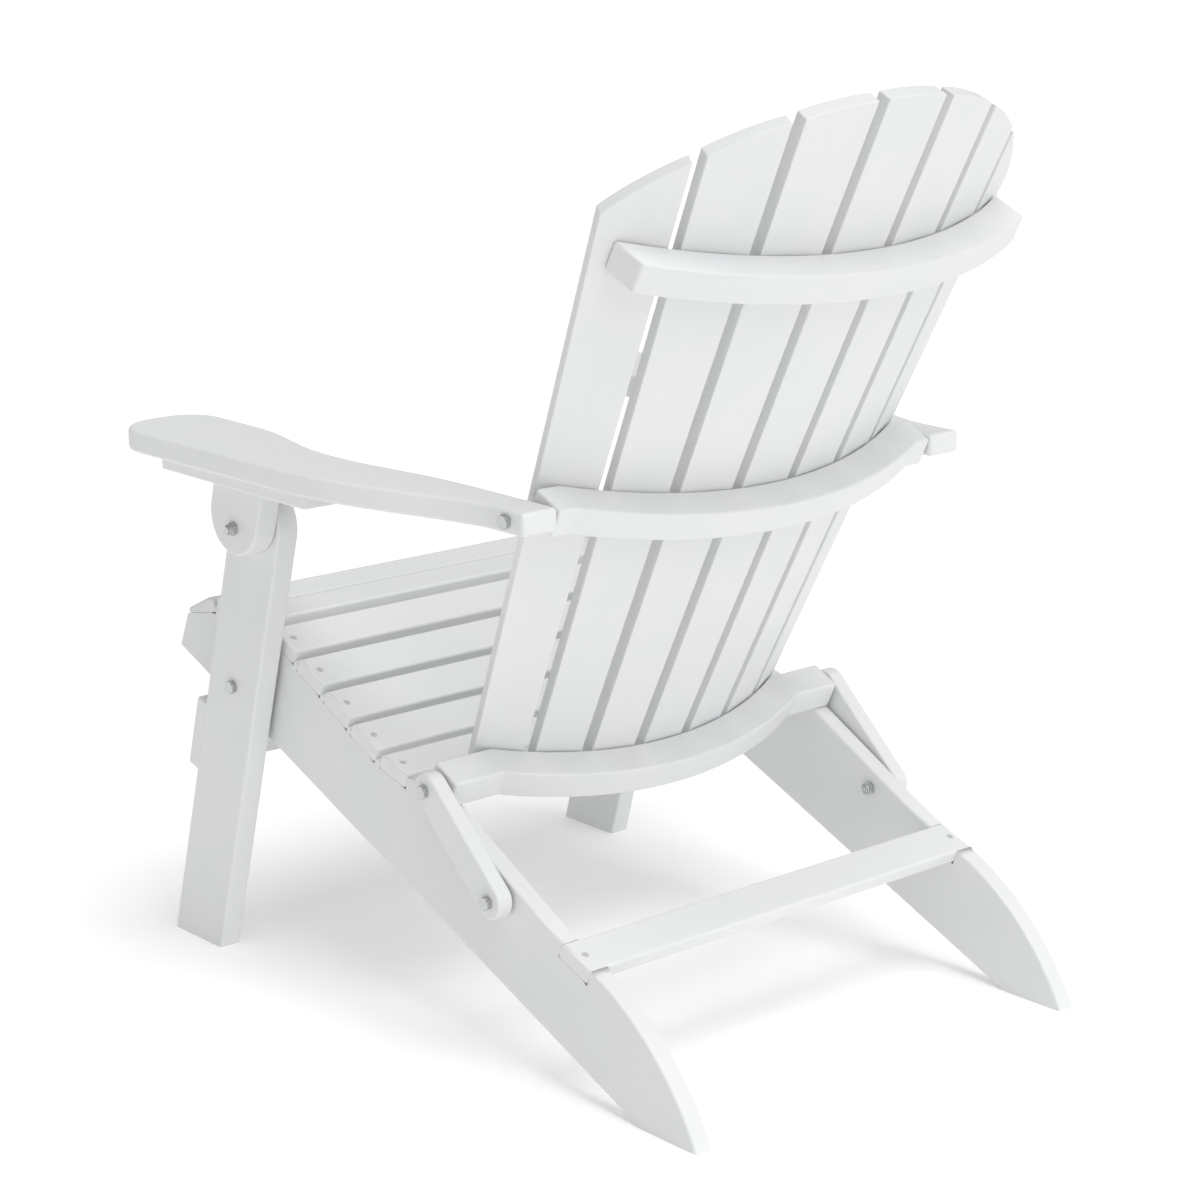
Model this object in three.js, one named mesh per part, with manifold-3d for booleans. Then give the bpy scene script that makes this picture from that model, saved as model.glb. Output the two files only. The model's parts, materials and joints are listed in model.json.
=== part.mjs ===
// Folding adirondack chair made of plastic lumber, held with screws and pivot bolts.
// Millimetres, +Z up, the floor is z = 0. The sitter faces -Y, and +X is the sitter's left.
import * as THREE from 'three';
import { mergeVertices } from 'three/addons/utils/BufferGeometryUtils.js';
import ManifoldModule from 'manifold-3d';

const wasm = await ManifoldModule();
wasm.setup();

const rad = THREE.MathUtils.degToRad;
const vec2 = (a, b) => new THREE.Vector2(a, b);
const vec3 = (x, y, z) => new THREE.Vector3(x, y, z);

// ---------------------------------------------------------------- driving sizes
const GAP = 0.3;              // between pieces that touch
const HALF_SEAT = 270;        // middle plane to the outer face of a rail
const RAIL_THICK = 21;
const SLAT_THICK = 16;
const LEG_THICK = 25.5;
const LEG_WIDTH = 83.4;
const LEG_INNER = 275;        // inner face of a front leg
const LEG_LEAN = 15.1;        // degrees, the foot is in front of the top
const RAIL_FALL = 22.86;      // degrees, the rails fall towards the rear
const RECLINE = 25;           // degrees, the back leans away from the vertical

const RAIL_INNER = HALF_SEAT - RAIL_THICK;
const LEG_OUTER = LEG_INNER + LEG_THICK;

// Pivot centres seen from the side, as (y, z)
const ARM_PIVOT = vec2(-220, 492.8);
const LEG_PIVOT_DROP = 192;   // along the leg, from the arm pivot to the rail pivot
const LINK_PIVOT = vec2(143, 176.6);
const BRACE_PIVOT = vec2(45.4, 266.5);
const BACK_PIVOT = vec2(186.7, 567.2);

const legUp = vec2(Math.sin(rad(LEG_LEAN)), Math.cos(rad(LEG_LEAN)));
const legFront = vec2(-legUp.y, legUp.x);
const LEG_PIVOT = ARM_PIVOT.clone().addScaledVector(legUp, -LEG_PIVOT_DROP);

// Fasteners
const SHANK_R = 4;
const HOLE_R = SHANK_R + GAP;
const HEAD_FLATS = 13;
const HEAD_HIGH = 5.3;
const NUT_HIGH = 5.2;
const COLLAR_HIGH = 2.6;
const COLLAR_R = 5.7;
const COLLAR_SUNK = 0.5;      // the collar starts this far inside the nut's hexagon
const BOLT_PAST_NUT = 2;
const HOLE_OVERCUT = 5;       // a drilled rod starts this far outside the board

// ---------------------------------------------------------------- materials and nodes
const LOOKS = {
  lumber: { color: 0xf1f2f3, roughness: 0.55, metalness: 0 },
  steel: { color: 0xb9bcc0, roughness: 0.32, metalness: 1 },
};
const chair = new THREE.Group();
chair.name = 'folding_adirondack_chair';

function add(name, geometry, look = 'lumber') {
  const mesh = new THREE.Mesh(geometry, new THREE.MeshStandardMaterial(LOOKS[look]));
  mesh.material.name = look;
  mesh.name = name;
  chair.add(mesh);
}

// Calls make(side name, sign) for the sitter's left (+X) and right (-X).
function bothSides(make) {
  make('left', 1);
  make('right', -1);
}

// ---------------------------------------------------------------- solid helpers
// A flat outline made into a board: outline x, y and depth run along the three given directions.
function board(shape, depth, origin, xDir, yDir, depthDir, curveSegments = 12) {
  const geometry = new THREE.ExtrudeGeometry(shape, { depth, bevelEnabled: false, curveSegments });
  const matrix = new THREE.Matrix4().makeBasis(xDir, yDir, depthDir).setPosition(origin);
  return geometry.applyMatrix4(matrix);
}

// A side outline (y, z) made into a board from xLow to xHigh.
function sideBoard(shape, xLow, xHigh, curveSegments = 12) {
  const origin = vec3(xLow, 0, 0);
  return board(shape, xHigh - xLow, origin, vec3(0, 1, 0), vec3(0, 0, 1), vec3(1, 0, 0), curveSegments);
}

// The same, between two distances from the middle plane on the side that the sign gives.
function sideBoardOn(sign, shape, inner, outer, curveSegments = 12) {
  const low = sign > 0 ? inner : -outer;
  return sideBoard(shape, low, low + outer - inner, curveSegments);
}

function toManifold(geometry) {
  const bare = geometry.clone();
  bare.deleteAttribute('normal');
  bare.deleteAttribute('uv');
  const merged = mergeVertices(bare, 1e-4);
  const triVerts = new Uint32Array(merged.index.array);
  const vertProperties = new Float32Array(merged.attributes.position.array);
  return new wasm.Manifold(new wasm.Mesh({ numProp: 3, vertProperties, triVerts }));
}

function fromManifold(solid) {
  const mesh = solid.getMesh();
  const geometry = new THREE.BufferGeometry();
  geometry.setAttribute('position', new THREE.BufferAttribute(new Float32Array(mesh.vertProperties), 3));
  geometry.setIndex(new THREE.BufferAttribute(new Uint32Array(mesh.triVerts), 1));
  geometry.computeVertexNormals();
  return geometry;
}

function withoutRods(geometry, rods) {
  return fromManifold(rods.reduce((solid, rod) => solid.subtract(toManifold(rod)), toManifold(geometry)));
}

// A rod along X through a side point (y, z).
function rodAcross(centre, radius, xLow, xHigh) {
  return sideBoard(discAt(centre, radius, THREE.Shape), xLow, xHigh);
}

function rodOn(sign, centre, radius, inner, outer) {
  return sign > 0 ? rodAcross(centre, radius, inner, outer) : rodAcross(centre, radius, -outer, -inner);
}

function discAt(centre, radius, Kind = THREE.Path) {
  const path = new Kind();
  path.absarc(centre.x, centre.y, radius, 0, 2 * Math.PI, false);
  return path;
}

function polygon(points) {
  return new THREE.Shape(points);
}

// ---------------------------------------------------------------- seat frame
// Each slat: the top edge at its front as (y, z), and its tilt, positive where it rises to the rear.
const SEAT_SLATS = [
  { at: vec2(-397.1, 374.8), tilt: 11.5, wide: 51, nose: true },
  { at: vec2(-338.6, 389.6), tilt: -5.5, wide: 45 },
  { at: vec2(-287.6, 386.1), tilt: -4.9, wide: 45 },
  { at: vec2(-235.4, 374.5), tilt: -24.1, wide: 45 },
  { at: vec2(-189.0, 349.7), tilt: -25.6, wide: 45 },
  { at: vec2(-142.8, 324.8), tilt: -26.6, wide: 45 },
  { at: vec2(-97.7, 299.7), tilt: -24.3, wide: 45 },
  { at: vec2(-50.5, 277.6), tilt: -14.2, wide: 44 },
];
const SLAT_PROUD = 11.5;      // how far a slat's top stands above the rail between the slats
const LAST_PROUD = 3;         // and above the flat that the lower brace rests on
const RELIEF_RUN = 8;         // each notch is cut deeper towards its rear corner
const RELIEF_DEEP = 2;
const NOSE_FACE = 6;          // the first slat's front face that its long chamfer leaves
const NOSE_RUN = 38;

const SEAT_REAR = { at: vec2(230.9, 154.4), tilt: -21.4, wide: 44.4 };

// Outline point of a slat: run along its top, drop below its top.
function slatPoint(slat, run, drop) {
  const tilt = rad(slat.tilt);
  const along = vec2(Math.cos(tilt), Math.sin(tilt));
  const down = vec2(Math.sin(tilt), -Math.cos(tilt));
  return slat.at.clone().addScaledVector(along, run).addScaledVector(down, drop);
}

function slatShape(slat) {
  const top = slat.nose
    ? [slatPoint(slat, 0, SLAT_THICK - NOSE_FACE), slatPoint(slat, NOSE_RUN, 0)]
    : [slatPoint(slat, 0, 0)];
  return polygon([
    slatPoint(slat, 0, SLAT_THICK),
    ...top,
    slatPoint(slat, slat.wide, 0),
    slatPoint(slat, slat.wide, SLAT_THICK),
  ]);
}

// The notch that a rail has for a slat, with the rail's top on each side of it.
function notch(slat, frontProud, rearProud) {
  return [
    slatPoint(slat, -GAP, frontProud),
    slatPoint(slat, -GAP, SLAT_THICK + GAP),
    slatPoint(slat, slat.wide - RELIEF_RUN, SLAT_THICK + GAP),
    slatPoint(slat, slat.wide + GAP, SLAT_THICK + GAP + RELIEF_DEEP),
    slatPoint(slat, slat.wide + GAP, rearProud),
  ];
}

const SOLE_FRONT = vec2(338.9, 0);
const SOLE_REAR = vec2(420.4, 0);
const RAIL_FRONT_Y = -416;
const RAIL_FRONT_HIGH = 43.3;
const HEEL_R = 293;

// Centre of the arc that bulges up between two side points, and the directions of its ends.
function archBetween(from, to, radius) {
  const chord = to.clone().sub(from);
  const below = vec2(chord.y, -chord.x).normalize();
  const drop = Math.sqrt(radius * radius - chord.lengthSq() / 4);
  const centre = from.clone().addScaledVector(chord, 0.5).addScaledVector(below, drop);
  return { centre, start: from.clone().sub(centre).angle(), end: to.clone().sub(centre).angle() };
}

function railShape() {
  const fall = rad(RAIL_FALL);
  const frontLow = vec2(RAIL_FRONT_Y, (SOLE_FRONT.x - RAIL_FRONT_Y) * Math.tan(fall));
  const frontHigh = frontLow.clone().addScaledVector(vec2(Math.sin(fall), Math.cos(fall)), RAIL_FRONT_HIGH);
  const slatNotches = SEAT_SLATS.map((slat, index) => {
    const last = index === SEAT_SLATS.length - 1;
    return notch(slat, SLAT_PROUD, last ? LAST_PROUD : SLAT_PROUD);
  });
  const braceRest = [vec2(20.5, 262.7), vec2(58.5, 245.0)];
  const belowBack = vec2(190.4, 174.2);
  const rearNotch = notch(SEAT_REAR, 0, 0);
  const heel = archBetween(rearNotch.at(-1), SOLE_REAR, HEEL_R);

  const shape = new THREE.Shape();
  const corners = [
    SOLE_FRONT, frontLow, frontHigh, ...slatNotches.flat().slice(1),
    ...braceRest, belowBack, ...rearNotch,
  ];
  shape.moveTo(corners[0].x, corners[0].y);
  for (const corner of corners.slice(1)) {
    shape.lineTo(corner.x, corner.y);
  }
  shape.absarc(heel.centre.x, heel.centre.y, HEEL_R, heel.start, heel.end, true);
  shape.holes.push(discAt(LEG_PIVOT, HOLE_R), discAt(LINK_PIVOT, HOLE_R));
  return shape;
}

function addSeatFrame() {
  const rail = railShape();
  bothSides((side, sign) => {
    add(`${side}_rail`, sideBoardOn(sign, rail, RAIL_INNER, HALF_SEAT));
  });
  SEAT_SLATS.forEach((slat, index) => {
    add(`seat_slat_${index + 1}`, sideBoard(slatShape(slat), -HALF_SEAT, HALF_SEAT));
  });
  add('rear_stretcher', sideBoard(slatShape(SEAT_REAR), -HALF_SEAT, HALF_SEAT));
}

// ---------------------------------------------------------------- front legs
const STRETCHER_DROP = 234.5; // along the leg, from the arm pivot to the stretcher's top
const STRETCHER_HIGH = 83;
const STRETCHER_THICK = 18.2;

// Point of the side view, measured from the arm pivot: up along the leg and forward across it.
function legPoint(up, front) {
  return ARM_PIVOT.clone().addScaledVector(legUp, up).addScaledVector(legFront, front);
}

// Where the leg's edge at this distance in front of its middle line meets a height.
function legEdgeAt(height, front) {
  const edge = legPoint(0, front);
  return vec2(edge.x + (height - edge.y) * Math.tan(rad(LEG_LEAN)), height);
}

function legShape() {
  const half = LEG_WIDTH / 2;
  const frontFoot = legEdgeAt(0, half);
  const rearFoot = legEdgeAt(0, -half);
  const frontTop = legPoint(0, half);
  const shape = new THREE.Shape();
  shape.moveTo(rearFoot.x, rearFoot.y);
  shape.lineTo(frontFoot.x, frontFoot.y);
  shape.lineTo(frontTop.x, frontTop.y);
  shape.absarc(ARM_PIVOT.x, ARM_PIVOT.y, half, rad(180 - LEG_LEAN), rad(-LEG_LEAN), true);
  shape.holes.push(discAt(ARM_PIVOT, HOLE_R), discAt(LEG_PIVOT, HOLE_R));
  return shape;
}

function addFrontLegs() {
  const leg = legShape();
  bothSides((side, sign) => {
    add(`${side}_front_leg`, sideBoardOn(sign, leg, LEG_INNER, LEG_OUTER));
  });
  const rear = LEG_WIDTH / 2 + GAP;
  const front = rear + STRETCHER_THICK;
  const stretcher = polygon([
    legPoint(-STRETCHER_DROP, rear),
    legPoint(-STRETCHER_DROP - STRETCHER_HIGH, rear),
    legPoint(-STRETCHER_DROP - STRETCHER_HIGH, front),
    legPoint(-STRETCHER_DROP, front),
  ]);
  add('front_stretcher', sideBoard(stretcher, -LEG_OUTER, LEG_OUTER));
}

// ---------------------------------------------------------------- arms
const ARM_LOW = 554.5;        // underside at the rear end
const ARM_RISE = 0.31;        // degrees, the arms rise towards the front
const ARM_THICK = 23.7;
const ARM_OUTER = 362.5;
const ARM_TAIL_OUTER = 299.6;
const ARM_TAIL_INNER = 256;
const ARM_FRONT_INNER = 249.5;
const ARM_FRONT_Y = -394;
const ARM_REAR_Y = 210.7;
const ARM_TAIL_Y = 162;       // the tail's outer edge is straight from here to its rear end
const ARM_OUTER_CORNER = 52;
const ARM_INNER_CORNER = 42;
const CLEAT_Y = [-325, -72];
const CLEAT_INNER = 296;
const CLEAT_OUTER = 344;
const EAR_THICK = 26;
const EAR_OUTER = LEG_OUTER + GAP + EAR_THICK;
const EAR_RISE = 12;          // the ear's round end is centred above the pivot, along the leg
const EAR_FORWARD = 4.5;      // and the whole ear stands a little in front of the leg

// The arm's outline on the +X side as (x, y); the sign mirrors it.
function armShape(sign) {
  const at = (x, y) => vec2(sign * x, y);
  const shape = new THREE.Shape();
  const start = at(ARM_TAIL_INNER, ARM_REAR_Y);
  shape.moveTo(start.x, start.y);
  shape.lineTo(sign * ARM_TAIL_OUTER, ARM_REAR_Y);
  shape.lineTo(sign * ARM_TAIL_OUTER, ARM_TAIL_Y);
  shape.splineThru([
    at(303, 140), at(316, 92), at(328, 57), at(349, -20), at(356.5, -79), at(358.5, -123),
  ]);
  shape.lineTo(sign * ARM_OUTER, ARM_FRONT_Y + ARM_OUTER_CORNER);
  const outerCentre = at(ARM_OUTER - ARM_OUTER_CORNER, ARM_FRONT_Y + ARM_OUTER_CORNER);
  const outwards = sign > 0 ? 0 : Math.PI;
  shape.absarc(outerCentre.x, outerCentre.y, ARM_OUTER_CORNER, outwards, -Math.PI / 2, sign > 0);
  const innerCentre = at(ARM_FRONT_INNER + ARM_INNER_CORNER, ARM_FRONT_Y + ARM_INNER_CORNER);
  const inwards = sign > 0 ? -Math.PI : 0;
  shape.absarc(innerCentre.x, innerCentre.y, ARM_INNER_CORNER, -Math.PI / 2, inwards, sign > 0);
  shape.splineThru([
    at(249.5, -300), at(252, -249), at(263, -199), at(273, -155), at(275.5, -113),
    at(273.5, -69), at(265.5, -15), at(259.5, 30), at(256.5, 78), at(ARM_TAIL_INNER, 110),
  ]);
  return shape;
}

// Height of the arm's underside, and of the cleat's, at a distance along the chair.
const armUnder = (y) => ARM_LOW + (ARM_REAR_Y - y) * Math.tan(rad(ARM_RISE));
const cleatUnder = (y) => armUnder(y) - GAP - SLAT_THICK;

function earShape() {
  const half = LEG_WIDTH / 2;
  const top = cleatUnder(ARM_PIVOT.x + half) - GAP;
  const centre = legPoint(EAR_RISE, EAR_FORWARD);
  const frontTop = legEdgeAt(top, EAR_FORWARD + half);
  const rearTop = legEdgeAt(top, EAR_FORWARD - half);
  const shape = new THREE.Shape();
  shape.moveTo(rearTop.x, rearTop.y);
  shape.lineTo(frontTop.x, frontTop.y);
  shape.absarc(centre.x, centre.y, half, rad(180 - LEG_LEAN), rad(360 - LEG_LEAN), false);
  shape.holes.push(discAt(ARM_PIVOT, HOLE_R));
  return shape;
}

function addArms() {
  const rise = rad(ARM_RISE);
  const rearward = vec3(0, Math.cos(rise), -Math.sin(rise));
  const upward = vec3(0, Math.sin(rise), Math.cos(rise));
  const [cleatFront, cleatRear] = CLEAT_Y;
  const cleat = polygon([
    vec2(cleatFront, cleatUnder(cleatFront)), vec2(cleatRear, cleatUnder(cleatRear)),
    vec2(cleatRear, armUnder(cleatRear) - GAP), vec2(cleatFront, armUnder(cleatFront) - GAP),
  ]);
  bothSides((side, sign) => {
    const origin = vec3(0, 0, armUnder(0));
    const plank = board(armShape(sign), ARM_THICK, origin, vec3(1, 0, 0), rearward, upward, 4);
    const drill = [ARM_TAIL_INNER - HOLE_OVERCUT, ARM_TAIL_OUTER + HOLE_OVERCUT];
    add(`${side}_arm_board`, withoutRods(plank, [rodOn(sign, BACK_PIVOT, HOLE_R, ...drill)]));

    add(`${side}_arm_cleat`, sideBoardOn(sign, cleat, CLEAT_INNER, CLEAT_OUTER));
    add(`${side}_arm_ear`, sideBoardOn(sign, earShape(), LEG_OUTER + GAP, EAR_OUTER));
  });
}

// ---------------------------------------------------------------- links
const LINK_INNER = 272.7;
const LINK_THICK = 18.3;
const LINK_OUTER = LINK_INNER + LINK_THICK;
const LINK_R = 18;

function addLinks() {
  const along = BRACE_PIVOT.clone().sub(LINK_PIVOT);
  const heading = along.angle();
  const shape = new THREE.Shape();
  shape.absarc(BRACE_PIVOT.x, BRACE_PIVOT.y, LINK_R, heading - Math.PI / 2, heading + Math.PI / 2, false);
  shape.absarc(LINK_PIVOT.x, LINK_PIVOT.y, LINK_R, heading + Math.PI / 2, heading + 1.5 * Math.PI, false);
  shape.holes.push(discAt(BRACE_PIVOT, HOLE_R), discAt(LINK_PIVOT, HOLE_R));
  bothSides((side, sign) => {
    add(`${side}_link`, sideBoardOn(sign, shape, LINK_INNER, LINK_OUTER));
  });
}

// ---------------------------------------------------------------- back
// The back is part of a cone. Its own directions: x, v to the rear across it, u up along it.
const backUp = vec3(0, Math.sin(rad(RECLINE)), Math.cos(rad(RECLINE)));
const backRear = vec3(0, Math.cos(rad(RECLINE)), -Math.sin(rad(RECLINE)));
const BACK_ORIGIN_Y = 163.35;
const LOWER_U = 193;          // where the two slopes below are counted from
const CONE_R = 430;
const CONE_GROWTH = 0.194;
const CROWN_V = -190;         // rearmost line of the slats' rear faces
const CROWN_SLOPE = 0.021;
const SLAT_STEP = 8.65;       // degrees between slats round the cone
const BACK_SLAT_THICK = 16.5;
const BACK_SLAT_WIDE = 52.2;
const BACK_SLAT_GROWTH = 0.03;
const BACK_SLAT_FOOT_U = 176;
const BACK_SLAT_OFF = 1.1;    // a flat slat touches the hollow side of a brace at its edges only
const TOP_ARC_R = 337;
const TOP_ARC_U = 637.5;
const BRACE_THICK = 32;
const BRACE_DEEP = 38;

const coneR = (u) => CONE_R + CONE_GROWTH * (u - LOWER_U);
const crownV = (u) => CROWN_V + CROWN_SLOPE * (u - LOWER_U);

function backPoint(x, v, u) {
  return vec3(x, BACK_ORIGIN_Y, 0).addScaledVector(backRear, v).addScaledVector(backUp, u);
}

// One brace: low edge u, half length, and for the two with straight ends their front and rear v.
const BRACES = [
  { name: 'lower_brace', u: 178.2, half: 269.6, tab: { front: -237.6, rear: -200.3 }, pivot: BRACE_PIVOT },
  { name: 'middle_brace', u: 508.7, half: 254.5, tab: { front: -237.3, rear: -199 }, pivot: BACK_PIVOT },
  { name: 'upper_brace', u: 778.2, half: 256 },
];
const BRACE_STEPS = 20;
const BRACE_HOLE_DEEP = 38;
const BRACE_HOLE_SPARE = 3;   // the bolt stops this far short of the hole's end

// One edge of a brace seen along u: its arc, then the straight end where it has one.
function braceEdge(brace, radius, centreV, tabV) {
  const arcEnd = tabV === undefined
    ? brace.half
    : Math.sqrt(radius * radius - (tabV - centreV) ** 2);
  const turn = Math.asin(arcEnd / radius);
  const edge = [];
  for (let step = 0; step <= BRACE_STEPS; step += 1) {
    const angle = turn * (2 * step / BRACE_STEPS - 1);
    edge.push(vec2(radius * Math.sin(angle), centreV + radius * Math.cos(angle)));
  }
  if (tabV !== undefined) {
    edge.unshift(vec2(-brace.half, tabV));
    edge.push(vec2(brace.half, tabV));
  }
  return edge;
}

function braceOutline(brace, u) {
  const centreV = crownV(u) - coneR(u);
  const front = braceEdge(brace, coneR(u) + GAP, centreV, brace.tab?.front);
  const rear = braceEdge(brace, coneR(u) + BRACE_DEEP, centreV, brace.tab?.rear);
  return [...front, ...rear.reverse()];
}

// Joins two outlines with the same number of points, one at each end of the brace's thickness.
function loft(low, lowU, high, highU) {
  const count = low.length;
  const raise = (outline, u) => outline.map((point) => backPoint(point.x, point.y, u));
  const positions = [...raise(low, lowU), ...raise(high, highU)];
  const index = [];
  for (let here = 0; here < count; here += 1) {
    const next = (here + 1) % count;
    index.push(here, next, count + next, here, count + next, count + here);
  }
  for (const [a, b, c] of THREE.ShapeUtils.triangulateShape(low, [])) {
    index.push(c, b, a);
  }
  for (const [a, b, c] of THREE.ShapeUtils.triangulateShape(high, [])) {
    index.push(count + a, count + b, count + c);
  }
  const geometry = new THREE.BufferGeometry().setFromPoints(positions);
  geometry.setIndex(index);
  geometry.computeVertexNormals();
  return geometry;
}

function braceSolid(brace) {
  const highU = brace.u + BRACE_THICK;
  const solid = loft(braceOutline(brace, brace.u), brace.u, braceOutline(brace, highU), highU);
  if (!brace.pivot) {
    return solid;
  }
  const reach = [brace.half - BRACE_HOLE_DEEP, brace.half + HOLE_OVERCUT];
  return withoutRods(solid, [1, -1].map((sign) => rodOn(sign, brace.pivot, HOLE_R, ...reach)));
}

// The directions of one back slat: along its middle line, across it, and forward out of its face.
function slatFrame(place) {
  const turn = rad(SLAT_STEP * place);
  const middle = (u) => {
    const radius = coneR(u);
    return backPoint(radius * Math.sin(turn), crownV(u) - radius + radius * Math.cos(turn), u);
  };
  const along = middle(LOWER_U + 1).sub(middle(LOWER_U)).normalize();
  const tangent = vec3(Math.cos(turn), 0, 0).addScaledVector(backRear, -Math.sin(turn));
  const across = tangent.addScaledVector(along, -tangent.dot(along)).normalize();
  return { origin: middle(LOWER_U), along, across, forward: across.clone().cross(along) };
}

const TOP_POINTS = 8;
const slatHalf = (run) => (BACK_SLAT_WIDE + BACK_SLAT_GROWTH * run) / 2;

function backSlatShape(frame) {
  const place = (share, run) => frame.origin.clone()
    .addScaledVector(frame.along, run).addScaledVector(frame.across, share * slatHalf(run));
  const upOf = (point) => vec3(0, -BACK_ORIGIN_Y, 0).add(point).dot(backUp);
  // How far along the slat a test changes from negative to positive, found by halving.
  const crossing = (share, test) => {
    let [low, high] = [-100, 1000];
    while (high - low > 0.01) {
      const run = (low + high) / 2;
      [low, high] = test(place(share, run)) < 0 ? [run, high] : [low, run];
    }
    return low;
  };
  const aboveFoot = (point) => upOf(point) - BACK_SLAT_FOOT_U;
  const outsideArc = (point) => {
    const rise = upOf(point) - TOP_ARC_U;
    return Math.sign(rise) * Math.hypot(point.x, rise) - TOP_ARC_R;
  };
  const corner = (share, test) => {
    const run = crossing(share, test);
    return vec2(share * slatHalf(run), run);
  };
  const outline = [corner(-1, aboveFoot), corner(1, aboveFoot)];
  for (let step = 0; step <= TOP_POINTS; step += 1) {
    outline.push(corner(1 - 2 * step / TOP_POINTS, outsideArc));
  }
  return polygon(outline);
}

function addBack() {
  for (const brace of BRACES) {
    add(brace.name, braceSolid(brace));
  }
  for (let place = -3; place <= 3; place += 1) {
    const frame = slatFrame(place);
    const { across, along, forward } = frame;
    const origin = frame.origin.clone().addScaledVector(forward, BACK_SLAT_OFF);
    const plank = board(backSlatShape(frame), BACK_SLAT_THICK, origin, across, along, forward);
    add(`back_slat_${place + 4}`, plank);
  }
}

// ---------------------------------------------------------------- bolts and nuts
function hexagon(acrossFlats, centre) {
  const corner = acrossFlats / 2 / Math.cos(Math.PI / 6);
  const points = [];
  for (let k = 0; k < 6; k += 1) {
    const angle = rad(60 * k + 30);
    points.push(vec2(centre.x + corner * Math.cos(angle), centre.y + corner * Math.sin(angle)));
  }
  return polygon(points);
}

// A hexagon head against a face at headX, and a shank that runs from it to endX.
// Both are distances from the middle plane, on the side that the sign gives.
function boltSolid(sign, centre, headX, endX) {
  const outward = Math.sign(headX - endX);
  const headFace = headX + outward * GAP;
  const [low, high] = [headFace, headFace + outward * HEAD_HIGH].sort((a, b) => a - b);
  const head = sideBoardOn(sign, hexagon(HEAD_FLATS, centre), low, high);
  const [shankLow, shankHigh] = [endX, headFace + outward].sort((a, b) => a - b);
  const shank = rodOn(sign, centre, SHANK_R, shankLow, shankHigh);
  return fromManifold(toManifold(head).add(toManifold(shank)));
}

// A lock nut against a face at faceX, with its round collar on the side away from the face.
function nutSolid(sign, centre, faceX, outward) {
  const ring = (shape, from, deep) => {
    shape.holes.push(discAt(centre, HOLE_R));
    const [low, high] = [from, from + outward * deep].sort((a, b) => a - b);
    return toManifold(sideBoardOn(sign, shape, low, high));
  };
  const start = faceX + outward * GAP;
  const collarStart = start + outward * (NUT_HIGH - COLLAR_SUNK);
  const body = ring(hexagon(HEAD_FLATS, centre), start, NUT_HIGH);
  const collar = ring(discAt(centre, COLLAR_R, THREE.Shape), collarStart, COLLAR_HIGH + COLLAR_SUNK);
  return fromManifold(body.add(collar));
}

function addFasteners() {
  const nutReach = NUT_HIGH + COLLAR_HIGH + BOLT_PAST_NUT;
  const braceBoltEnd = HALF_SEAT - BRACE_HOLE_DEEP + BRACE_HOLE_SPARE;
  bothSides((side, sign) => {
    add(`${side}_leg_bolt`, boltSolid(sign, LEG_PIVOT, LEG_OUTER, RAIL_INNER - nutReach), 'steel');
    add(`${side}_leg_nut`, nutSolid(sign, LEG_PIVOT, RAIL_INNER, -1), 'steel');
    add(`${side}_arm_bolt`, boltSolid(sign, ARM_PIVOT, LEG_INNER, EAR_OUTER + nutReach), 'steel');
    add(`${side}_arm_nut`, nutSolid(sign, ARM_PIVOT, EAR_OUTER, 1), 'steel');
    add(`${side}_back_bolt`, boltSolid(sign, BACK_PIVOT, ARM_TAIL_OUTER, ARM_TAIL_INNER + GAP), 'steel');
    add(`${side}_brace_bolt`, boltSolid(sign, BRACE_PIVOT, LINK_OUTER, braceBoltEnd), 'steel');
    add(`${side}_link_bolt`, boltSolid(sign, LINK_PIVOT, LINK_OUTER, RAIL_INNER - nutReach), 'steel');
    add(`${side}_link_nut`, nutSolid(sign, LINK_PIVOT, RAIL_INNER, -1), 'steel');
  });
}

addSeatFrame();
addFrontLegs();
addArms();
addLinks();
addBack();
addFasteners();

// The origin lies under the middle of the chair: its outline runs from the rails' front to their heels.
chair.position.y = -(RAIL_FRONT_Y + SOLE_REAR.x) / 2;

export default chair;
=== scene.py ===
"""Looks of a folding adirondack chair: eased boards of white plastic lumber, stainless bolts and
screws, in a plain white studio. Everything is in metres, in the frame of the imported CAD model."""
import json
import math

import bmesh
import bpy
import numpy as np
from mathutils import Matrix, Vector
from mathutils.bvhtree import BVHTree


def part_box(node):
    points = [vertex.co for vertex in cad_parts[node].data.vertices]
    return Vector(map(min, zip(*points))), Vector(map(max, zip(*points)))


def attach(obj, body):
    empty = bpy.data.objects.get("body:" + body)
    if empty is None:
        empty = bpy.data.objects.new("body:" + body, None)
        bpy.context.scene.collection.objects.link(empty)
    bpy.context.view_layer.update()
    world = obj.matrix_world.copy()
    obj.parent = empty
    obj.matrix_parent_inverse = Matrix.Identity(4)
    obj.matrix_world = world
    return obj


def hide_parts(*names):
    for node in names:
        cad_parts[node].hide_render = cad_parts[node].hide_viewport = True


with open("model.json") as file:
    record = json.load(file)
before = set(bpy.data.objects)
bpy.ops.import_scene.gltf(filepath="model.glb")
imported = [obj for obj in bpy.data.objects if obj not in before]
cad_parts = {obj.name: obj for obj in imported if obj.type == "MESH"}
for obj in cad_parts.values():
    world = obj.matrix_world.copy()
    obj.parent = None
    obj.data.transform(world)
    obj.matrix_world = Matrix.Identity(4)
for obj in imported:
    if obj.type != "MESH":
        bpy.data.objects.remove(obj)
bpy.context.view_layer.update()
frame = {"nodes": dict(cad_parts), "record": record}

MM = 0.001
WHITE = (1, 1, 1, 1)

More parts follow.
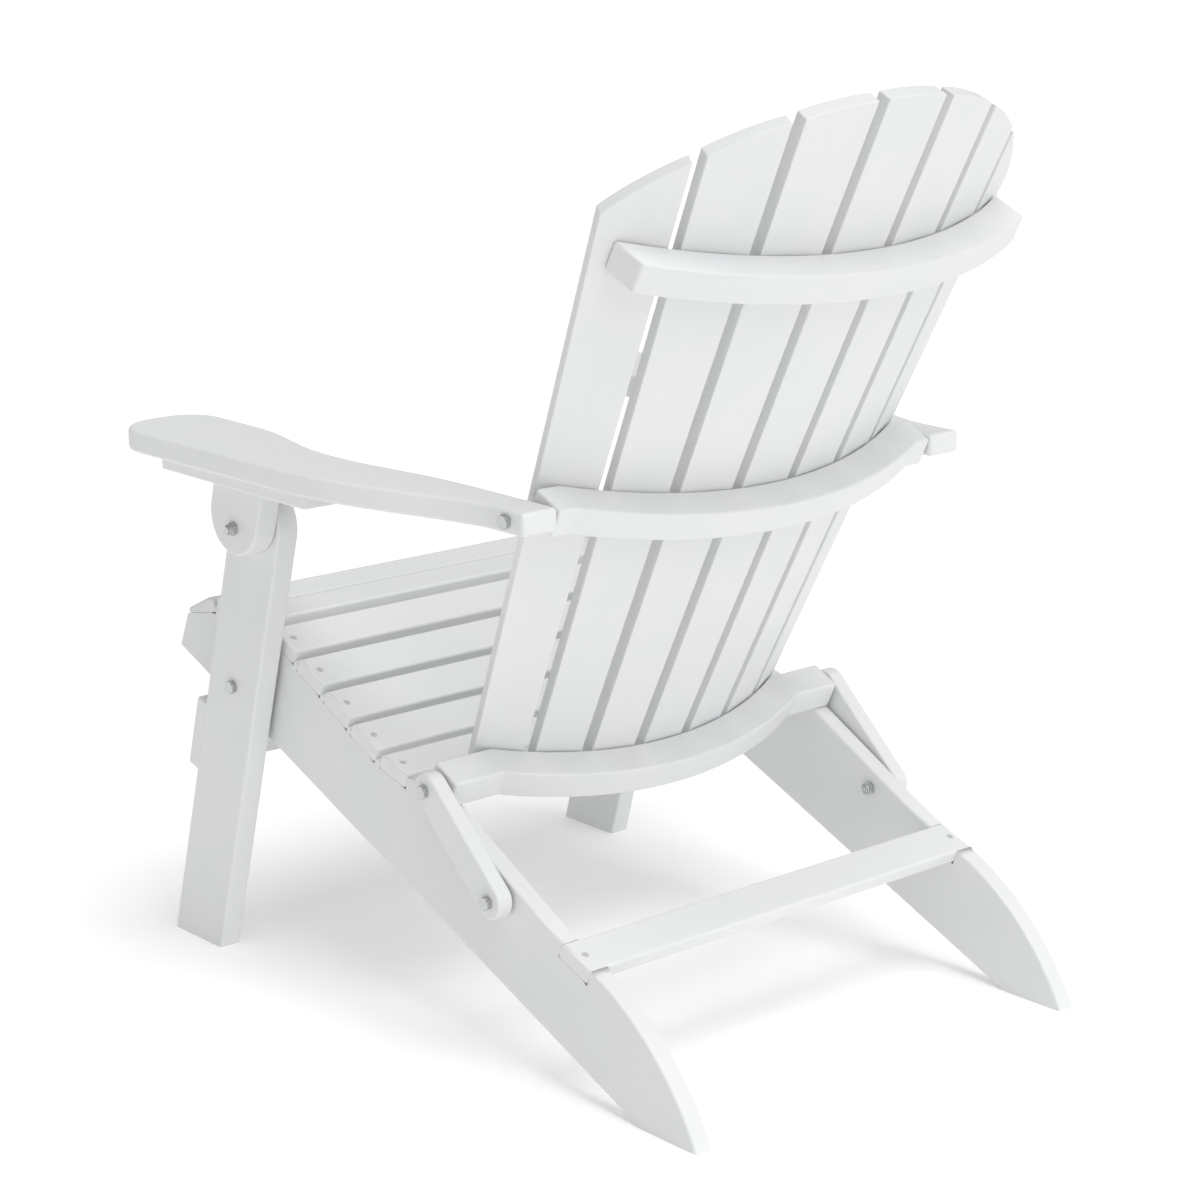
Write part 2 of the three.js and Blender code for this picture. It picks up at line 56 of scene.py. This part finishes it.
BODIES = frame["record"]["behaviour"]["bodies"]
BODY_OF = {node: body for body, nodes in BODIES.items() for node in nodes}
LUMBER = [part["node"] for part in frame["record"]["subparts"] if part["material_slot"] == "lumber"]
BRACES = ("lower_brace", "middle_brace", "upper_brace")
SIDES = (1, -1)                # left, at +X, and right


def cad_points(node):
    """The corners of a CAD node's mesh, one per row."""
    return np.array([vertex.co for vertex in frame["nodes"][node].data.vertices])


# ---------------------------------------------------------------- node tree helpers
class Tree:
    """A material's or world's node tree, built one linked node at a time."""

    def __init__(self, owner):
        owner.use_nodes = True
        self.tree = owner.node_tree
        self.tree.nodes.clear()

    def add(self, kind, inputs=None, **settings):
        """Makes a node. Its inputs, by name or number, are linked to a socket or set to a value."""
        node = self.tree.nodes.new(kind)
        for name, value in settings.items():
            setattr(node, name, value)
        for name, value in (inputs or {}).items():
            if isinstance(value, bpy.types.NodeSocket):
                self.tree.links.new(value, node.inputs[name])
            else:
                node.inputs[name].default_value = value
        return node

    def noise(self, vector, scale, detail=2.0, roughness=0.5):
        inputs = {"Vector": vector, "Scale": scale, "Detail": detail, "Roughness": roughness}
        return self.add("ShaderNodeTexNoise", inputs).outputs["Fac"]

    def ramp(self, factor, low, high, low_at=0.35, high_at=0.65):
        """A colour that goes from low to high between two places of a factor."""
        node = self.add("ShaderNodeValToRGB", {"Fac": factor})
        ends = node.color_ramp.elements
        ends[0].position, ends[0].color = low_at, (*low, 1)
        ends[1].position, ends[1].color = high_at, (*high, 1)
        return node.outputs["Color"]

    def span(self, factor, low, high, low_from=0.0, high_from=1.0):
        """A number that goes from low to high while the factor goes from low_from to high_from."""
        inputs = {
            "Value": factor, "From Min": low_from, "From Max": high_from, "To Min": low, "To Max": high,
        }
        return self.add("ShaderNodeMapRange", inputs).outputs["Result"]

    def mix(self, factor, first, second):
        """A colour mix. The inputs go by number, as the node has several of each name."""
        node = self.add("ShaderNodeMix", {0: factor, 6: first, 7: second}, data_type="RGBA")
        return node.outputs[2]

    def bump(self, height, strength, distance, normal=None):
        inputs = {"Height": height, "Strength": strength, "Distance": distance}
        if normal:
            inputs["Normal"] = normal
        return self.add("ShaderNodeBump", inputs).outputs["Normal"]

    def surface(self, inputs):
        """Ends a material in a Principled shader."""
        shader = self.add("ShaderNodeBsdfPrincipled", inputs)
        self.add("ShaderNodeOutputMaterial", {"Surface": shader.outputs[0]})


# ---------------------------------------------------------------- materials
LUMBER_WARM = (0.765, 0.77, 0.762)
LUMBER_COOL = (0.745, 0.76, 0.765)
LUMBER_GRAIN = (0.70, 0.71, 0.71)   # the darker streaks, mixed in by up to a tenth
LUMBER_EDGE_HIGHLIGHT = (0.81, 0.82, 0.82)    # painted highlight on the rounded corners, mixed in by up to a third
NYLON_DARK = (0.52, 0.54, 0.55)
NYLON_LIGHT = (0.60, 0.61, 0.61)
STEEL_COLOUR = (0.56, 0.57, 0.58)
COAT_COLOUR = (0.60, 0.61, 0.61)
SHADE = 0.9                   # a fastener's darker patches, as a part of its colour

# noise cells per metre
MOTTLE_CELLS = 7.0            # broad clouds in the lumber's colour
WAVE_CELLS = 28.0             # slow waviness of a board's faces
STREAKS_ALONG = 2.0           # grain along a board
STREAKS_ACROSS = 160.0        # and across it
SKIN_CELLS = 1100.0           # fine moulded skin
PATCH_CELLS = 260.0           # uneven sheen of a fastener
NYLON_CELLS = 900.0
TURNING_CELLS = 2200.0        # fine marks on a fastener

BOARD_SHIFT = (1.37, 0.71, 0.29)    # how far the pattern moves on from board to board


def lumber_material(name, along, seed):
    """White plastic lumber with a faint drawn grain that runs in the direction along."""
    material = bpy.data.materials.new(name)
    nodes = Tree(material)
    place = nodes.add("ShaderNodeTexCoord").outputs["Object"]
    turn = along.to_track_quat("X", "Z").to_matrix().inverted().to_euler()
    inputs = {"Vector": place, "Rotation": turn}
    local = nodes.add("ShaderNodeVectorRotate", inputs, rotation_type="EULER_XYZ").outputs[0]
    offset = tuple(seed * step for step in BOARD_SHIFT)
    board = nodes.add("ShaderNodeVectorMath", {0: local, 1: offset}, operation="ADD").outputs[0]
    cells = (STREAKS_ALONG, STREAKS_ACROSS, STREAKS_ACROSS)
    drawn = nodes.add("ShaderNodeVectorMath", {0: board, 1: cells}, operation="MULTIPLY").outputs[0]

    mottle = nodes.noise(board, MOTTLE_CELLS, detail=3.0)
    streaks = nodes.noise(drawn, 1.0, detail=4.0, roughness=0.6)
    skin = nodes.noise(board, SKIN_CELLS, detail=1.0)
    waves = nodes.noise(board, WAVE_CELLS, detail=1.0)
    corners = nodes.add("ShaderNodeNewGeometry").outputs["Pointiness"]

    body = nodes.ramp(mottle, LUMBER_WARM, LUMBER_COOL)
    streaked = nodes.span(streaks, 0.0, 0.10, low_from=0.35, high_from=0.75)
    grain = nodes.mix(streaked, body, (*LUMBER_GRAIN, 1.0))
    # Painted highlight: the corners that pointiness finds are lightened, standing in for light caught
    # on the rounded edges.
    edge_highlight_mask = nodes.span(corners, 0.0, 0.35, low_from=0.52, high_from=0.62)
    with_edge_highlight = nodes.mix(edge_highlight_mask, grain, (*LUMBER_EDGE_HIGHLIGHT, 1.0))

    normal = nodes.bump(waves, strength=0.10, distance=0.6 * MM)
    normal = nodes.bump(streaks, strength=0.22, distance=0.25 * MM, normal=normal)
    normal = nodes.bump(skin, strength=0.16, distance=0.12 * MM, normal=normal)
    rough = nodes.span(nodes.mix(0.5, mottle, streaks), 0.40, 0.56, low_from=0.3, high_from=0.7)
    nodes.surface({
        "Base Color": with_edge_highlight, "Roughness": rough, "Normal": normal,
        "IOR": 1.5, "Specular IOR Level": 0.42,
    })
    return material


def fastener_material(name, base, rough_low, rough_high, metallic):
    """A fastener's surface, bare steel or coated, with fine marks and a little uneven sheen."""
    material = bpy.data.materials.new(name)
    nodes = Tree(material)
    place = nodes.add("ShaderNodeTexCoord").outputs["Object"]
    fine = nodes.noise(place, TURNING_CELLS, detail=3.0)
    broad = nodes.noise(place, PATCH_CELLS, detail=2.0)
    colour = nodes.ramp(broad, tuple(SHADE * part for part in base), base)
    rough = nodes.span(nodes.mix(0.5, fine, broad), rough_low, rough_high, low_from=0.3, high_from=0.7)
    normal = nodes.bump(fine, strength=0.25, distance=0.08 * MM)
    nodes.surface({"Base Color": colour, "Roughness": rough, "Normal": normal, "Metallic": metallic})
    return material


def nylon_material():
    """The pale locking ring inside a lock nut's collar."""
    material = bpy.data.materials.new("nylon_ring")
    nodes = Tree(material)
    place = nodes.add("ShaderNodeTexCoord").outputs["Object"]
    cloud = nodes.noise(place, NYLON_CELLS, detail=2.0)
    colour = nodes.ramp(cloud, NYLON_DARK, NYLON_LIGHT)
    nodes.surface({"Base Color": colour, "Roughness": nodes.span(cloud, 0.45, 0.6)})
    return material


# ---------------------------------------------------------------- mesh helpers
SHARP_ANGLE = math.radians(38)      # a corner that turns by more than this is shaded sharp
BIG_FACES_FIRST = 90          # how strongly the normals lean to the bigger faces, 50 being even


def add_object(name, maker):
    """An object in the scene from a filled bmesh, which is used up."""
    data = bpy.data.meshes.new(name)
    maker.to_mesh(data)
    maker.free()
    made = bpy.data.objects.new(name, data)
    bpy.context.scene.collection.objects.link(made)
    return made


def finish_piece(maker, name, body, material, replaced=()):
    """Makes an object from a filled bmesh, shades it smooth up to sharp corners, and rides it."""
    piece = add_object(name, maker)
    for face in piece.data.polygons:
        face.use_smooth = True
    piece.data.set_sharp_from_angle(angle=SHARP_ANGLE)
    piece.data.materials.append(material)
    even = piece.modifiers.new("even_normals", "WEIGHTED_NORMAL")
    even.keep_sharp = True
    even.weight = BIG_FACES_FIRST
    if replaced:
        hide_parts(*replaced)
    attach(piece, body)


def long_axis(points):
    """The direction in which a set of points is longest."""
    middle = points - points.mean(axis=0)
    _, vectors = np.linalg.eigh(middle.T @ middle)
    return Vector(vectors[:, -1])


# ---------------------------------------------------------------- turned pieces
ROUND = 72                    # points round a turned piece, with one on each corner of a hexagon


def circle(radius):
    return lambda angle: radius


def turned(rings, origin, axis, first, closed=False):
    """A solid round an axis. A ring is a distance along it and a radius at an angle from the first
    direction. The two end rings are capped, or, if it is closed like a washer, joined."""
    second = axis.cross(first)
    angles = [2 * math.pi * step / ROUND for step in range(ROUND)]
    spokes = [math.cos(angle) * first + math.sin(angle) * second for angle in angles]
    maker = bmesh.new()
    loops = []
    for distance, radius in rings:
        middle = origin + axis * distance
        places = [middle + radius(angle) * spoke for angle, spoke in zip(angles, spokes)]
        loops.append([maker.verts.new(place) for place in places])
    pairs = list(zip(loops, loops[1:]))
    if closed:
        pairs.append((loops[-1], loops[0]))
    else:
        maker.faces.new(loops[0])
        maker.faces.new(loops[-1])
    for near, far in pairs:
        for step in range(ROUND):
            other = (step + 1) % ROUND
            maker.faces.new((near[step], near[other], far[other], far[step]))
    bmesh.ops.recalc_face_normals(maker, faces=maker.faces)
    return maker


# ---------------------------------------------------------------- bolts and lock nuts
BOLT_R = 4 * MM
HEX_FLATS = 13 * MM
HEX_CORNER_R = 6.7 * MM       # of a bolt or nut, only a hexagon's corners are further out than this
HEAD_HIGH = 5.3 * MM
NUT_HIGH = 5.2 * MM           # of the nut's hexagon, without the collar

CHAMFER_RUN = math.tan(math.radians(60))   # a hexagon's corners are turned off at 30 degrees
CHAMFER_STEPS = 5
CHAMFER_DEEP = 0.8 * MM
FACE_R = 6.15 * MM            # the round flat that the chamfer leaves on a head or nut
RIM_R = 7.2 * MM              # under a head, the corners are only just cut back
RIM_HIGH = 0.2 * MM

THREAD_PITCH = 1.25 * MM
THREAD_DEEP = 0.45 * MM
THREAD_LONG = 13 * MM
THREAD_RINGS = 5              # rings in one turn of the thread
THREAD_LEAD = 0.5 * MM        # the plain shank ends this far before the thread
SHANK_LEAST = 1 * MM          # plain shank under the head, at least
TIP_R = 3.1 * MM

NUT_BORE_R = 4.08 * MM
COLLAR_HIGH = 2.6 * MM
COLLAR_R = 5.7 * MM
COLLAR_ROUNDING = (           # how far below its mouth, and how far in from its side
    (0.9 * MM, 0.0),
    (0.35 * MM, 0.15 * MM),
    (0.08 * MM, 0.42 * MM),
)
LIP_R = 4.9 * MM              # mouth of the nut's collar
LIP_TAPER = 0.12 * MM         # the mouth narrows by this, down to the nylon
RING_SUNK = 0.35 * MM         # the nylon lies this far below the mouth, and is as thick
RING_DISH = 0.1 * MM          # its face falls by this towards the bolt
RING_TOP_R = LIP_R - 0.1 * MM       # its side is a little inside the steel, so that no gap shows
RING_FOOT_R = LIP_R - 0.05 * MM


def hexagon(angle):
    """Distance from a hexagon's middle to its side, which is nearest at multiples of 60 degrees."""
    from_flat = (angle + math.pi / 6) % (math.pi / 3) - math.pi / 6
    return HEX_FLATS / 2 / math.cos(from_flat)


def chamfered(radius):
    """A hexagon with its corners cut back to a radius."""
    return lambda angle: min(hexagon(angle), radius)


def chamfer_rings(at, inwards):
    """The rings of a hexagon's turned chamfer, from the flat's rim at a distance, going inwards."""
    rings = []
    for step in range(CHAMFER_STEPS + 1):
        deep = CHAMFER_DEEP * step / CHAMFER_STEPS
        rings.append((at + inwards * deep, chamfered(FACE_R + deep * CHAMFER_RUN)))
    return rings


def thread(end, handed):
    """A bolt thread's radius at each ring, tapering into the tip at the end."""
    def at(distance):
        def around(angle):
            turn = (distance / THREAD_PITCH + handed * angle / (2 * math.pi)) % 1
            return min(BOLT_R - THREAD_DEEP * abs(2 * turn - 1), TIP_R + end - distance)
        return around
    return at


def along_x(node):
    """A CAD fastener's middle, its two ends along X, and whether its hexagon is at the higher end."""
    points = cad_points(node)
    low, high = points.min(axis=0), points.max(axis=0)
    middle = (low + high) / 2
    reach = np.hypot(points[:, 1] - middle[1], points[:, 2] - middle[2])
    hexagon_high = points[reach > HEX_CORNER_R][:, 0].mean() > middle[0]
    return middle, float(low[0]), float(high[0]), hexagon_high


def make_bolt(node, steel):
    """A hexagon bolt along X in place of a CAD bolt, built from the top of its head to its tip."""
    middle, low, high, hexagon_high = along_x(node)
    top, inwards = (high, -1) if hexagon_high else (low, 1)
    length = high - low

    thread_from = max(length - THREAD_LONG, HEAD_HIGH + SHANK_LEAST)
    rings = chamfer_rings(0, 1)
    rings += [
        (HEAD_HIGH - RIM_HIGH, hexagon),
        (HEAD_HIGH, chamfered(RIM_R)),
        (HEAD_HIGH, circle(BOLT_R)),
        (thread_from - THREAD_LEAD, circle(BOLT_R)),
    ]
    threaded = thread(length, inwards)
    steps = int((length - thread_from) / (THREAD_PITCH / THREAD_RINGS))
    for step in range(steps + 1):
        distance = thread_from + (length - thread_from) * step / steps
        rings.append((distance, threaded(distance)))
    origin = Vector((top, middle[1], middle[2]))
    maker = turned(rings, origin, Vector((inwards, 0, 0)), Vector((0, 1, 0)))
    finish_piece(maker, f"{node}_turned", BODY_OF[node], steel, [node])


def make_nut(node, steel, nylon):
    """A lock nut in place of a CAD nut, built outwards from the board, with nylon in its collar."""
    middle, low, high, hexagon_high = along_x(node)
    face, outward = (high, -1) if hexagon_high else (low, 1)
    origin = Vector((face, middle[1], middle[2]))
    axis, first = Vector((outward, 0, 0)), Vector((0, 1, 0))

    mouth = NUT_HIGH + COLLAR_HIGH
    rings = [(0, circle(NUT_BORE_R)), (0, circle(FACE_R))]
    rings += chamfer_rings(0, 1)[1:]
    rings += chamfer_rings(NUT_HIGH, -1)[::-1]
    rings.append((NUT_HIGH, circle(COLLAR_R)))
    rings += [(mouth - below, circle(COLLAR_R - inset)) for below, inset in COLLAR_ROUNDING]
    rings += [
        (mouth, circle(LIP_R)),
        (mouth - RING_SUNK, circle(LIP_R - LIP_TAPER)),
        (mouth - 2 * RING_SUNK, circle(NUT_BORE_R)),
    ]
    maker = turned(rings, origin, axis, first, closed=True)
    finish_piece(maker, f"{node}_turned", BODY_OF[node], steel, [node])

    nylon_rings = [
        (mouth - 2 * RING_SUNK, circle(BOLT_R)),
        (mouth - 2 * RING_SUNK, circle(RING_FOOT_R)),
        (mouth - RING_SUNK, circle(RING_TOP_R)),
        (mouth - RING_SUNK - RING_DISH, circle(BOLT_R)),
    ]
    maker = turned(nylon_rings, origin, axis, first, closed=True)
    finish_piece(maker, f"{node}_nylon", BODY_OF[node], nylon)


def make_fasteners(steel):
    nylon = nylon_material()
    for node in BODY_OF:
        if node.endswith("_bolt"):
            make_bolt(node, steel)
        elif node.endswith("_nut"):
            make_nut(node, steel, nylon)


# ---------------------------------------------------------------- countersunk screws
SCREW_R = 3.6 * MM
SCREW_SUNK = 0.12 * MM        # the head's face lies this far below the board's
SCREW_RIM = 0.15 * MM         # the face is smaller than the head by this
RIM_TOP = 0.1 * MM            # the head's side, below its face: from here
RIM_FOOT = 0.35 * MM          # to here
HEAD_TAPER = 0.6              # below that the head narrows to this part of its radius
RECESS_R = 1.45 * MM
RECESS_DEEP = 2.4 * MM
RECESS_FLARE = 0.12 * MM      # the recess widens by this at its mouth, over as much depth
RECESS_TAPER = 0.9            # and narrows to this part of its size at its foot
RECESS_FLOOR = 0.5 * MM       # steel below the recess
STAR_POINTS = 6
STAR_WAVE = 0.16
POCKET_R = 3.8 * MM
POCKET_DEEP = 1.3 * MM        # cut out of the board. The head goes on below it, inside the board
POCKET_RISE = 0.5 * MM        # the cutting rod stands out of the board by this
STRETCHER_SCREWS = 22 * MM    # above and below the front stretcher's middle line
LOOKS_TOWARDS = 0.5           # least cosine between a face and the direction it looks in
SAME_PLANE = 0.999            # least cosine between the triangles of one flat face


def widest_face(node, towards):
    """The middle, the outward direction and the long direction of a board's face that looks towards."""
    data = frame["nodes"][node].data
    chosen = [face for face in data.polygons if face.normal.dot(towards) > LOOKS_TOWARDS]
    biggest = max(chosen, key=lambda face: face.area)
    same = [face for face in chosen if face.normal.dot(biggest.normal) > SAME_PLANE]
    area = sum(face.area for face in same)
    centre = sum((face.center * face.area for face in same), Vector()) / area
    return centre, biggest.normal.copy(), long_axis(cad_points(node))


def star(radius):
    """The rounded six-pointed recess in a screw head."""
    return lambda angle: radius * (1 + STAR_WAVE * math.cos(STAR_POINTS * angle))


def in_board(rings, place, out, along):
    """A turned solid in a board's face: its axis goes out of the board, and it is turned to along."""
    first = (along - out * along.dot(out)).normalized()
    return turned(rings, place, out, first)


def screw_head(screw, name, body, screw_coat):
    rings = [
        (-RECESS_DEEP - RECESS_FLOOR, circle(HEAD_TAPER * SCREW_R)),
        (-SCREW_SUNK - RIM_FOOT, circle(SCREW_R)),
        (-SCREW_SUNK - RIM_TOP, circle(SCREW_R)),
        (-SCREW_SUNK, circle(SCREW_R - SCREW_RIM)),
        (-SCREW_SUNK, star(RECESS_R + RECESS_FLARE)),
        (-SCREW_SUNK - RECESS_FLARE, star(RECESS_R)),
        (-RECESS_DEEP, star(RECESS_TAPER * RECESS_R)),
    ]
    finish_piece(in_board(rings, *screw), name, body, screw_coat)


def pocket_cutter(screws):
    """Short rods that cut a shallow round pocket for each screw."""
    rings = [(-POCKET_DEEP, circle(POCKET_R)), (POCKET_RISE, circle(POCKET_R))]
    cutter = bmesh.new()
    for screw in screws:
        rod = in_board(rings, *screw)
        data = bpy.data.meshes.new("rod")
        rod.to_mesh(data)
        rod.free()
        cutter.from_mesh(data)
        bpy.data.meshes.remove(data)
    return cutter


def middle_x(node):
    """How far a board's middle is from the chair's middle plane."""
    low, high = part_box(node)
    return abs(low[0] + high[0]) / 2


def height_along(node, up):
    """The middle of a node measured along a direction."""
    heights = cad_points(node) @ np.array(up)
    return (heights.min() + heights.max()) / 2


def screws_in(node):
    """The screws whose heads show in a board: (place, direction out, direction along the board)."""
    if node.startswith("seat_slat") or node == "rear_stretcher":
        centre, out, along = widest_face(node, Vector((0, 0, 1)))
        ends = [side * middle_x("left_rail") for side in SIDES]
        return [(Vector((x, centre.y, centre.z)), out, along) for x in ends]
    if node == "front_stretcher":
        centre, out, along = widest_face(node, Vector((0, -1, 0)))
        across = out.cross(along)
        ends = [side * middle_x("left_front_leg") for side in SIDES]
        steps = (-STRETCHER_SCREWS, STRETCHER_SCREWS)
        places = [Vector((x, centre.y, centre.z)) + across * step for x in ends for step in steps]
        return [(place, out, along) for place in places]
    if node.startswith("back_slat"):
        centre, out, along = widest_face(node, Vector((0, -1, 0)))
        up = long_axis(cad_points("back_slat_4"))
        rises = [height_along(brace, up) - centre.dot(up) for brace in BRACES]
        return [(centre + along * (rise / along.dot(up)), out, along) for rise in rises]
    return []


# ---------------------------------------------------------------- eased boards
EASE = 3.0 * MM               # rounding of a board's corners
ARM_EASE = 4.5 * MM
BACK_SLAT_EASE = 1.3 * MM
EASE_SEGMENTS = 3
EDGE_ANGLE = math.radians(20)       # a corner that turns by more than this is eased
HOLE_EDGE = 1.6 * MM          # the edges round a drilled hole's mouth are shorter than this
SOLE_EDGE = 1.0 * MM          # an edge lower than this stands on the floor and stays sharp
JOINT_GAP = 5.0 * MM          # boards closer than this are a tight joint
WELD_GAP = 0.01 * MM
FLAT_ANGLE = math.radians(0.3)      # triangles that turn by less than this are one flat face


def neighbours(node):
    """The surfaces of the boards that are fixed to a board, to find its tight joints with them."""
    maker = bmesh.new()
    for other in BODIES[BODY_OF[node]]:
        if other in LUMBER and other != node:
            maker.from_mesh(frame["nodes"][other].data)
    return BVHTree.FromBMesh(maker)


def corner_edges(maker, near):
    """The edges to ease: sharp ones that aren't in a drilled hole, on the floor or, if near holds
    the neighbours, at a tight joint with them."""
    chosen = []
    for edge in maker.edges:
        if len(edge.link_faces) != 2:
            continue
        if edge.calc_face_angle() < EDGE_ANGLE or edge.calc_length() < HOLE_EDGE:
            continue
        middle = (edge.verts[0].co + edge.verts[1].co) / 2
        stands = middle.z < SOLE_EDGE
        tight = near is not None and near.find_nearest(middle, JOINT_GAP)[0] is not None
        if not stands and not tight:
            chosen.append(edge)
    return chosen


def plain_solid(node):
    """A CAD board with its coplanar triangles joined into whole faces."""
    maker = bmesh.new()
    maker.from_mesh(frame["nodes"][node].data)
    bmesh.ops.remove_doubles(maker, verts=maker.verts, dist=WELD_GAP)
    bmesh.ops.dissolve_limit(maker, angle_limit=FLAT_ANGLE, verts=maker.verts, edges=maker.edges)
    return maker


def cut_pockets(maker, screws):
    """The solid with a pocket cut for every screw, by way of two helper objects."""
    helpers = [add_object("board_helper", maker), add_object("cutter_helper", pocket_cutter(screws))]
    cut = helpers[0].modifiers.new("cut", "BOOLEAN")
    cut.operation = "DIFFERENCE"
    cut.solver = "EXACT"
    cut.object = helpers[1]
    graph = bpy.context.evaluated_depsgraph_get()
    result = bmesh.new()
    result.from_mesh(helpers[0].evaluated_get(graph).data)
    for helper in helpers:
        data = helper.data
        bpy.data.objects.remove(helper)
        bpy.data.meshes.remove(data)
    return result


def eased_board(node, ease, seed, screw_coat):
    """A CAD board again, with its corners rounded, its screws and its own grain. The backrest's
    boards are eased all over, also where a slat crosses a brace."""
    body = BODY_OF[node]
    screws = screws_in(node)
    near = None if body == "backrest" else neighbours(node)
    maker = plain_solid(node)
    bmesh.ops.bevel(
        maker, geom=corner_edges(maker, near), offset=ease, offset_type="OFFSET",
        segments=EASE_SEGMENTS, profile=0.5, affect="EDGES", clamp_overlap=False,
    )
    if screws:
        maker = cut_pockets(maker, screws)
    for number, screw in enumerate(screws):
        screw_head(screw, f"{node}_screw_{number + 1}", body, screw_coat)
    material = lumber_material(f"lumber_{node}", long_axis(cad_points(node)), seed)
    finish_piece(maker, f"{node}_board", body, material, [node])


def make_boards(screw_coat):
    for index, node in enumerate(LUMBER):
        ease = EASE
        if node.endswith("arm_board"):
            ease = ARM_EASE
        elif node.startswith("back_slat"):
            ease = BACK_SLAT_EASE
        eased_board(node, ease, index + 1, screw_coat)


# ---------------------------------------------------------------- stage
CAMERA_TARGET = Vector((0.0235, 0.0039, 0.4088))
CAMERA_AZIMUTH = 138.53
CAMERA_ELEVATION = 14.61
CAMERA_DISTANCE = 3.0885
CAMERA_LENS = 88.5            # millimetres, as is the sensor's width
SENSOR_WIDE = 36
FLOOR_HALF = 30.0
FLOOR_WHITE = (0.97, 0.97, 0.97, 1)
FLOOR_GLOW = 0.14             # the floor's own light, which keeps it near white
WORLD_FILL = 0.43             # even light from all round
SOFTBOXES = {                 # azimuth, elevation and spread in degrees, and strength
    "top_softbox": (180, 76, 40, 0.44),
    "rear_softbox": (180, 32, 60, 0.32),
}


def direction(azimuth, elevation):
    """From the object towards a viewer: azimuth 0 is in front of it, at -Y, and 90 at +X."""
    a, e = math.radians(azimuth), math.radians(elevation)
    return Vector((math.sin(a) * math.cos(e), -math.cos(a) * math.cos(e), math.sin(e)))


def looking_along(way):
    """The rotation of a camera or light that looks along a direction."""
    return way.to_track_quat("-Z", "Y").to_euler()


def make_camera():
    data = bpy.data.cameras.new("camera")
    data.sensor_width = SENSOR_WIDE
    data.lens = CAMERA_LENS
    camera = bpy.data.objects.new("camera", data)
    back = direction(CAMERA_AZIMUTH, CAMERA_ELEVATION)
    camera.location = CAMERA_TARGET + back * CAMERA_DISTANCE
    camera.rotation_euler = looking_along(-back)
    bpy.context.scene.collection.objects.link(camera)
    bpy.context.scene.camera = camera


def make_floor():
    maker = bmesh.new()
    bmesh.ops.create_grid(maker, x_segments=8, y_segments=8, size=FLOOR_HALF)
    floor = add_object("floor", maker)
    material = bpy.data.materials.new("floor_white")
    Tree(material).surface({
        "Base Color": FLOOR_WHITE, "Roughness": 0.9, "Specular IOR Level": 0.1,
        "Emission Color": WHITE, "Emission Strength": FLOOR_GLOW,
    })
    floor.data.materials.append(material)


def soft_sun(name, azimuth, elevation, spread, strength):
    """A very wide, distant softbox. At strength 1 it lights a white surface facing it to white."""
    data = bpy.data.lights.new(name, "SUN")
    data.angle = math.radians(spread)
    data.energy = strength * math.pi
    light = bpy.data.objects.new(name, data)
    light.rotation_euler = looking_along(-direction(azimuth, elevation))
    bpy.context.scene.collection.objects.link(light)


def make_world():
    """White to look at, and a softer, even fill where it lights things."""
    world = bpy.data.worlds.new("studio")
    bpy.context.scene.world = world
    nodes = Tree(world)
    seen = nodes.add("ShaderNodeLightPath").outputs["Is Camera Ray"]
    fill = nodes.add("ShaderNodeBackground", {"Color": WHITE, "Strength": WORLD_FILL}).outputs[0]
    white = nodes.add("ShaderNodeBackground", {"Color": WHITE, "Strength": 1.0}).outputs[0]
    both = nodes.add("ShaderNodeMixShader", {0: seen, 1: fill, 2: white}).outputs[0]
    nodes.add("ShaderNodeOutputWorld", {"Surface": both})


def make_stage():
    make_camera()
    make_floor()
    make_world()
    for name, settings in SOFTBOXES.items():
        soft_sun(name, *settings)
    view = bpy.context.scene.view_settings
    view.view_transform = "Standard"
    view.look = "None"
    bpy.context.scene.cycles.use_denoising = True


make_stage()
coat = fastener_material("screw_coat", COAT_COLOUR, rough_low=0.38, rough_high=0.52, metallic=0.0)
make_boards(coat)
stainless = fastener_material("stainless", STEEL_COLOUR, rough_low=0.20, rough_high=0.34, metallic=1.0)
make_fasteners(stainless)
